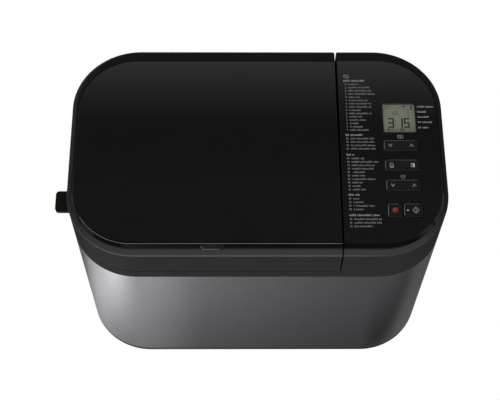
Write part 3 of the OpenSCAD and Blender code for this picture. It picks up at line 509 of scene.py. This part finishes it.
def key_print():
    """The sign or signs on each key, and a painted highlight along its upper and left edges."""
    for node, (draw, finish) in KEY_SIGNS.items():
        x, y, top = middle(node)
        low, high = (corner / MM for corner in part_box(node))
        body = body_with(node)
        half_w, half_d = (high.x - low.x) / 2 - 0.6, (high.y - low.y) / 2 - 0.6
        # Painted highlight along the left edge of the key, and a dimmer one along its upper edge
        rim = Ink(x, y)
        rim.stroke([(-half_w, 1.5 - half_d), (-half_w, half_d - 1.2)], 0.5)
        rim.lay(node + "_left_highlight", "painted_rim_highlight", body, top)
        upper = Ink(x, y)
        upper.stroke([(1.2 - half_w, half_d), (half_w - 3, half_d)], 0.45)
        upper.lay(node + "_upper_highlight", "painted_rim_highlight_dim", body, top)
        if node == "start_key":
            # Painted glint: a small white dot on the start lamp
            lamp_x, lamp_y, lamp_top = middle("start_lamp")
            disc_on("lamp_glint", "white_print_and_glint", "start_lamp", lamp_x, lamp_y, lamp_top, 0.8)
        if node == "stop_key":
            disc_on("stop_ground", "print_red", node, x + 0.4, y, top, 3.4)
        sign = Ink(x, y)
        draw(sign)
        if node == "stop_key":
            sign.lay("stop_sign", finish, body, top + RAISED * MM)
        else:
            sign.lay(node + "_sign", finish, body, top)


def tab_edge():
    """A painted highlight along the left end and the front edge of the finger tab."""
    low, high = (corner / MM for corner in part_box("finger_tab"))
    edge = Ink(*middle("finger_tab")[:2])
    half_w, front = (high.x - low.x) / 2, (low.y - high.y) / 2
    edge.stroke([(0.6 - half_w, front + 6), (0.6 - half_w, front + 3.6), (3.6 - half_w, front + 0.6)], 0.5)
    edge.stroke([(3.6 - half_w, front + 0.6), (half_w - 4, front + 0.6)], 0.5)
    # Painted highlight, laid on the top of the tab
    edge.lay("tab_edge_highlight", "painted_rim_highlight", body_with("finger_tab"), high.z * MM)


# Strokes of each display digit, as the corners of a cell one unit wide and two units high
DIGITS = {
    "3": [[(0, 2), (1, 2), (1, 0), (0, 0)], [(0, 1), (1, 1)]],
    "1": [[(1, 2), (1, 0)]],
    "5": [[(1, 2), (0, 2), (0, 1), (1, 1), (1, 0), (0, 0)]],
}
DIGIT_W = 4.4
DIGIT_H = 10.2
DIGIT_LINE = 1.6


def display_print():
    """Three digits with a colon, and the small marks above and below them."""
    x, y, top = middle("lcd_module")
    ink = Ink(x, y)
    for sign, left in (("3", -10.6), ("1", -1.2), ("5", 6.0)):
        for line in DIGITS[sign]:
            cells = [(left + DIGIT_W * u, -10.3 + DIGIT_H / 2 * v) for u, v in line]
            ink.stroke(cells, DIGIT_LINE)
    for dot_y in (-2.6, -7.4):
        ink.disc(-3.5, dot_y, 0.65)
    marks = Ink(x, y)
    for low_y in (12.6, 14.9):
        marks.stroke([(-13.8, low_y), (-11.8, low_y)], 0.6)
    marks.stroke([(-9.6, 15.0), (-8.2, 15.0)], 0.5)
    marks.fill([(4.4, 14.2), (7.6, 14.2), (6.6, 16.0), (5.4, 16.0)])
    marks.bar(13.2, 11.2, 1.3, 5.0)
    for low_y in (10.6, 7.4, 3.9):
        marks.stroke([(10.0, low_y), (10.2, low_y + 0.9)], 0.8)
    marks.arc(-3.8, 6.3, 2.3, 20, 160, 0.55)
    marks.stroke([(-6.0, 7.1), (-6.0, 5.0), (-1.6, 5.0), (-1.6, 7.1)], 0.55)
    marks.bar(-12.2, -15.4, 1.3, 3.4)
    marks.stroke([(-8.8, -13.2), (-7.4, -13.2)], 0.6)
    for low_y in (-15.0, -13.6, -12.2):
        marks.stroke([(1.2, low_y), (4.2, low_y)], 0.55)
    marks.stroke([(1.2, -15.0), (1.2, -12.2)], 0.5)
    marks.stroke([(4.2, -15.0), (4.2, -12.2)], 0.5)
    ink.lay("display_digits", "lcd_ink", "root", top)
    marks.lay("display_marks", "lcd_ink", "root", top)


# ---------- Light and floor ----------

def area_light(name, place, size, power):
    """A soft box that faces the object and that no reflection shows."""
    data = bpy.data.lights.new(name, "AREA")
    data.shape = "RECTANGLE"
    data.size, data.size_y = size
    data.energy = power
    lamp = bpy.data.objects.new(name, data)
    bpy.context.scene.collection.objects.link(lamp)
    lamp.location = place
    lamp.rotation_mode = "QUATERNION"
    lamp.rotation_quaternion = (LIGHT_AIM - Vector(place)).to_track_quat("-Z", "Y")
    lamp.visible_glossy = False


class Glow:
    """An emission material whose strength is worked out from the place on the card."""

    def __init__(self, name):
        self.mat = bpy.data.materials.new(name)
        self.mat.use_nodes = True
        self.tree = self.mat.node_tree
        self.tree.nodes.clear()
        place = self.tree.nodes.new("ShaderNodeTexCoord").outputs["Object"]
        split = self.tree.nodes.new("ShaderNodeSeparateXYZ")
        self.tree.links.new(place, split.inputs["Vector"])
        self.x, self.y, self.z = split.outputs["X"], split.outputs["Y"], split.outputs["Z"]

    def curve(self, socket, stops):
        """A smooth curve through (place, level) stops, read at the socket's value."""
        low, high = stops[0][0], stops[-1][0]
        most = max(level for _, level in stops)
        span = self.tree.nodes.new("ShaderNodeMapRange")
        span.inputs["From Min"].default_value = low
        span.inputs["From Max"].default_value = high
        self.tree.links.new(socket, span.inputs["Value"])
        ramp = self.tree.nodes.new("ShaderNodeValToRGB")
        self.tree.links.new(span.outputs["Result"], ramp.inputs["Fac"])
        elements = ramp.color_ramp.elements
        elements.remove(elements[1])
        for i, (place, level) in enumerate(stops):
            stop = elements[0] if i == 0 else elements.new((place - low) / (high - low))
            stop.position = (place - low) / (high - low)
            stop.color = (level / most,) * 3 + (1,)
        return self.math("MULTIPLY", ramp.outputs["Color"], most)

    def math(self, kind, first, second):
        made = self.tree.nodes.new("ShaderNodeMath")
        made.operation = kind
        for i, value in enumerate((first, second)):
            if isinstance(value, bpy.types.NodeSocket):
                self.tree.links.new(value, made.inputs[i])
            else:
                made.inputs[i].default_value = value
        return made.outputs["Value"]

    def blend(self, factor, first, second):
        """first where factor is 0, second where it is 1."""
        change = self.math("SUBTRACT", second, first)
        return self.math("ADD", first, self.math("MULTIPLY", change, factor))

    def shine(self, strength):
        emit = self.tree.nodes.new("ShaderNodeEmission")
        if isinstance(strength, bpy.types.NodeSocket):
            self.tree.links.new(strength, emit.inputs["Strength"])
        else:
            emit.inputs["Strength"].default_value = strength
        out = self.tree.nodes.new("ShaderNodeOutputMaterial")
        self.tree.links.new(emit.outputs["Emission"], out.inputs["Surface"])
        return self.mat


def card(name, size, centre, turn, mat):
    """A flat card that only reflections see."""
    bpy.ops.mesh.primitive_plane_add(size=1, location=centre, rotation=turn)
    made = bpy.context.object
    made.name = name
    made.scale = (*size, 1)
    bpy.ops.object.transform_apply(location=True, rotation=True, scale=True)
    made.data.materials.append(mat)
    made.visible_camera = False
    made.visible_diffuse = False
    made.visible_shadow = False
    return made


def table_glow():
    """What the wrap mirrors below the horizon: bright on the left, dim in front and on the right."""
    glow = Glow("table_glow")
    left_stops = [(-0.60, 0.2), (-0.42, 0.6), (-0.30, 2.2), (-0.245, 2.6), (-0.22, 1.9), (-0.19, 1.25)]
    front_stops = [(-0.16, 0.92), (-0.131, 0.84), (-0.106, 0.66), (-0.068, 0.39), (-0.006, 0.312)]
    right_stops = [(0.057, 0.244), (0.107, 0.207), (0.168, 0.165), (0.24, 0.17), (0.6, 0.2)]
    across = glow.curve(glow.x, left_stops + front_stops + right_stops)
    along = glow.curve(glow.y, [(-0.8, 0.1), (-0.5, 0.1), (-0.38, 0.9), (-0.235, 1.1), (-0.209, 1.0),
                                (-0.189, 0.82), (-0.163, 0.65), (-0.137, 0.54), (-0.12, 0.45)])
    corner = glow.curve(glow.y, [(-0.18, 1.0), (-0.165, 0.95), (-0.145, 0.45), (-0.128, 0.55), (-0.110, 2.4),
                                 (-0.06, 2.3)])
    at_right = glow.curve(glow.x, [(0.13, 0.0), (0.155, 1.0)])
    front = glow.math("MULTIPLY", glow.math("MULTIPLY", across, along), glow.blend(at_right, 1.0, corner))
    beside = glow.curve(glow.x, [(-0.6, 0.12), (-0.3, 0.15), (-0.2, 0.2), (0.2, 0.12), (0.6, 0.12)])
    towards_rear = glow.curve(glow.y, [(-0.10, 0.0), (-0.03, 1.0)])
    behind = glow.curve(glow.y, [(0.10, 1.0), (0.18, 0.15)])
    return glow.shine(glow.blend(towards_rear, front, glow.math("MULTIPLY", beside, behind)))


def rear_sheen():
    """The soft box behind: full below, fading out before it reaches the steep reflections."""
    glow = Glow("rear_sheen")
    stops = [(0.3, 0.0), (1.30, 0.0), (1.50, 0.66), (1.655, 0.66), (1.73, 0.46)]
    stops += [(1.82, 0.27), (1.95, 0.13), (2.11, 0.13), (2.36, 0.16), (3.2, 0.14)]
    return glow.shine(glow.curve(glow.z, stops))


def white_floor():
    """A pale floor that neither lights the object nor shows in it."""
    bpy.ops.mesh.primitive_plane_add(size=14, location=(0, 0, 0))
    floor = bpy.context.object
    floor.name = "floor"
    floor.data.materials.append(Glow("floor_white").shine(1.0))
    floor.visible_glossy = False
    floor.visible_diffuse = False


# Soft boxes that all face one point: name, place, size in metres, power in watts
LIGHT_AIM = Vector((0, 0, 0.25))
SOFT_BOXES = (
    ("key", (-0.3, -2.4, 0.85), (3.2, 1.2), 62),
    ("left", (-1.9, 1.9, 0.4), (1.6, 0.6), 55),
    ("right", (2.2, -1.6, 0.7), (2.4, 1.0), 18),
    ("back", (0.4, 2.6, 0.6), (2.4, 1.0), 45),
    ("top", (-0.5, -1.2, 2.3), (1.6, 0.8), 14),
)
# Low cards that draw the thin bright line along the plate's edge: name, place, turn in degrees, width
EDGE_CARDS = (
    ("edge_front", (-0.3, -2.4, 0.62), 0, 3.2),
    ("edge_left", (-2.4, -1.3, 0.62), -62, 2.4),
    ("edge_right", (2.2, -1.6, 0.62), 54, 2.4),
)
EDGE_HEIGHT = 0.35
EDGE_STRENGTH = 11
UPRIGHT = math.radians(90)


def studio():
    """A white floor, soft boxes all round, and cards for the reflections."""
    scene = bpy.context.scene
    scene.view_settings.view_transform = "Standard"
    scene.world = bpy.data.worlds.new("studio")
    scene.world.use_nodes = True
    scene.world.node_tree.nodes["Background"].inputs["Color"].default_value = (0.02, 0.02, 0.02, 1)
    white_floor()
    card("floor_glow", (4, 4), (0, 0, -0.004), (0, 0, 0), table_glow())
    card("rear_card", (9, 3.0), (0, 1.0, 1.7), (UPRIGHT, 0, 0), rear_sheen())
    for name, place, size, power in SOFT_BOXES:
        area_light(name, place, size, power)
    for name, place, turn, width in EDGE_CARDS:
        glow = Glow(name).shine(EDGE_STRENGTH)
        card(name, (width, EDGE_HEIGHT), place, (UPRIGHT, 0, math.radians(turn)), glow)


# ---------- Everything together ----------

add_camera()
studio()
for name, obj in NODES.items():
    dress(obj, SLOT_OF[name])
for name, width in ROUNDED.items():
    crisp(name, width * MM)
panel_print()
key_print()
display_print()
tab_edge()
